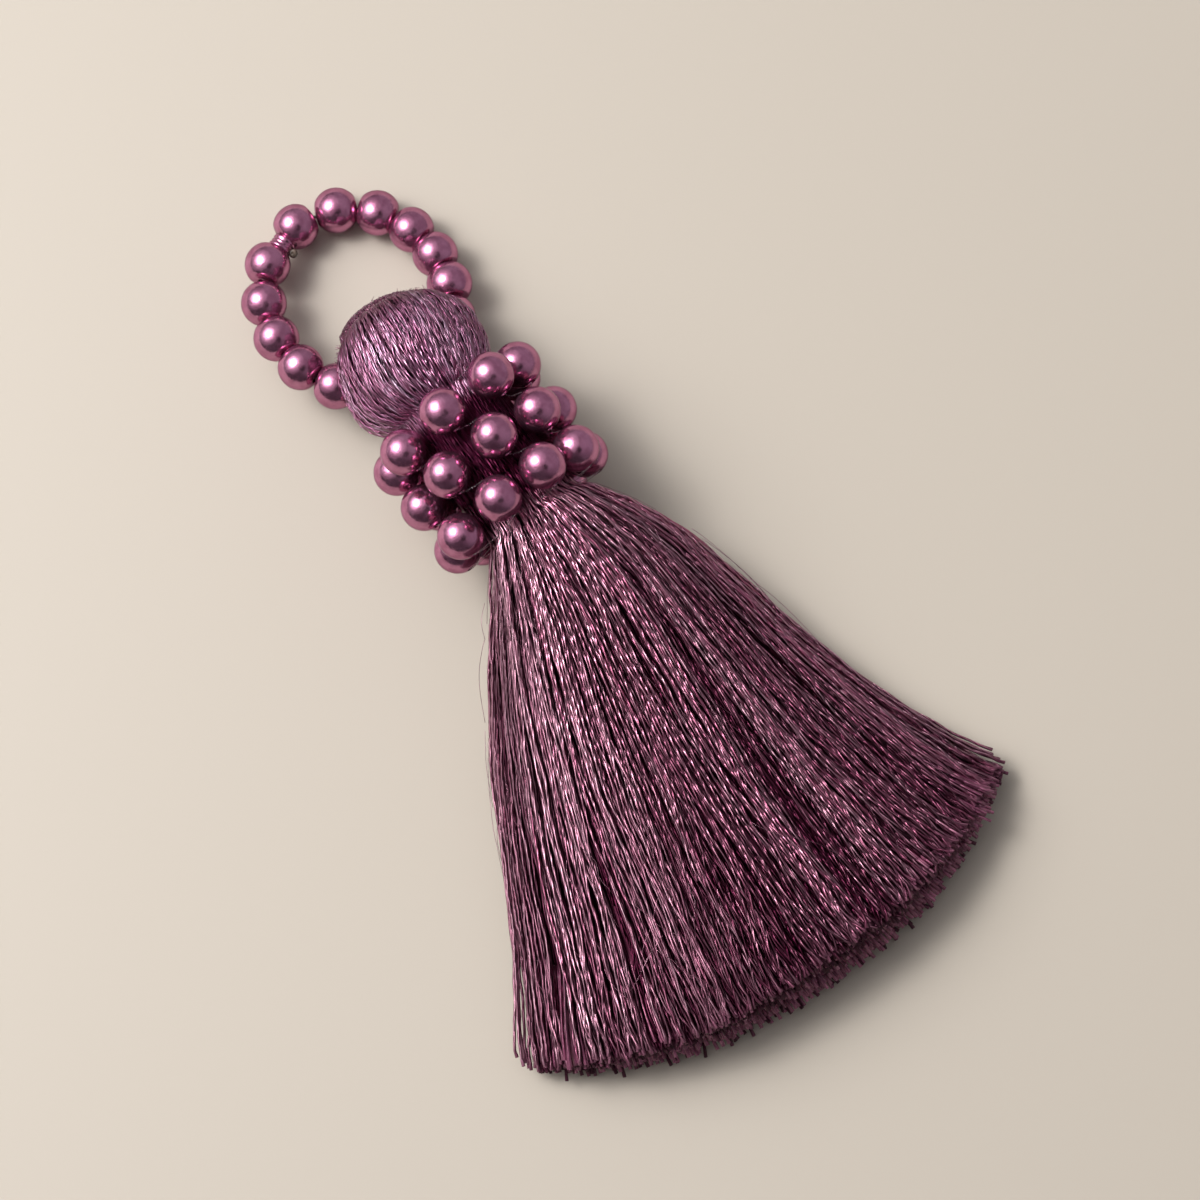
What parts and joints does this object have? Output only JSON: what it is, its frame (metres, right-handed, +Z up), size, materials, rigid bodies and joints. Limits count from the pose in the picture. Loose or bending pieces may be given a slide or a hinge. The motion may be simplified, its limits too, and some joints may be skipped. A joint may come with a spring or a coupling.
{
  "type": "silk tassel",
  "caption": "Silk thread tassel with a flared skirt, a netted collar of round metallic beads and a beaded ring to hang it by.",
  "frame": {"origin": "centre of the box that the lying tassel fills, on the surface that it rests on", "axes": "+Y along the tassel from the cut end of the skirt towards the hanging ring, +Z up from the surface that it lies on"},
  "size_m": [0.0474, 0.0826, 0.0178],
  "materials": {
    "silk": "plum two-ply twisted silk thread with a satin sheen",
    "bead_coating": "mirror-bright plum metallic coating",
    "crimp_metal": "bright plum metal, pinched",
    "cord": "clear glossy monofilament"
  },
  "bodies": {
    "root": {"silk_hank": "silk", "ring_bead_01": "bead_coating", "ring_bead_02": "bead_coating", "ring_bead_03": "bead_coating", "ring_bead_04": "bead_coating", "ring_bead_05": "bead_coating", "ring_bead_06": "bead_coating", "ring_bead_07": "bead_coating", "ring_bead_08": "bead_coating", "ring_bead_09": "bead_coating", "ring_bead_10": "bead_coating", "ring_bead_11": "bead_coating", "ring_bead_12": "bead_coating", "ring_bead_13": "bead_coating", "ring_bead_14": "bead_coating", "ring_bead_15": "bead_coating", "ring_crimp": "crimp_metal", "ring_cord": "cord", "collar_a_bead_1": "bead_coating", "collar_a_bead_2": "bead_coating", "collar_a_bead_3": "bead_coating", "collar_a_bead_4": "bead_coating", "collar_a_bead_5": "bead_coating", "collar_a_bead_6": "bead_coating", "collar_a_bead_7": "bead_coating", "collar_a_bead_8": "bead_coating", "collar_a_bead_9": "bead_coating", "collar_b_bead_1": "bead_coating", "collar_b_bead_2": "bead_coating", "collar_b_bead_3": "bead_coating", "collar_b_bead_4": "bead_coating", "collar_b_bead_5": "bead_coating", "collar_b_bead_6": "bead_coating", "collar_b_bead_7": "bead_coating", "collar_b_bead_8": "bead_coating", "collar_b_bead_9": "bead_coating", "collar_c_bead_1": "bead_coating", "collar_c_bead_2": "bead_coating", "collar_c_bead_3": "bead_coating", "collar_c_bead_4": "bead_coating", "collar_c_bead_5": "bead_coating", "collar_c_bead_6": "bead_coating", "collar_c_bead_7": "bead_coating", "collar_c_bead_8": "bead_coating", "collar_c_bead_9": "bead_coating"}
  },
  "joints": []
}
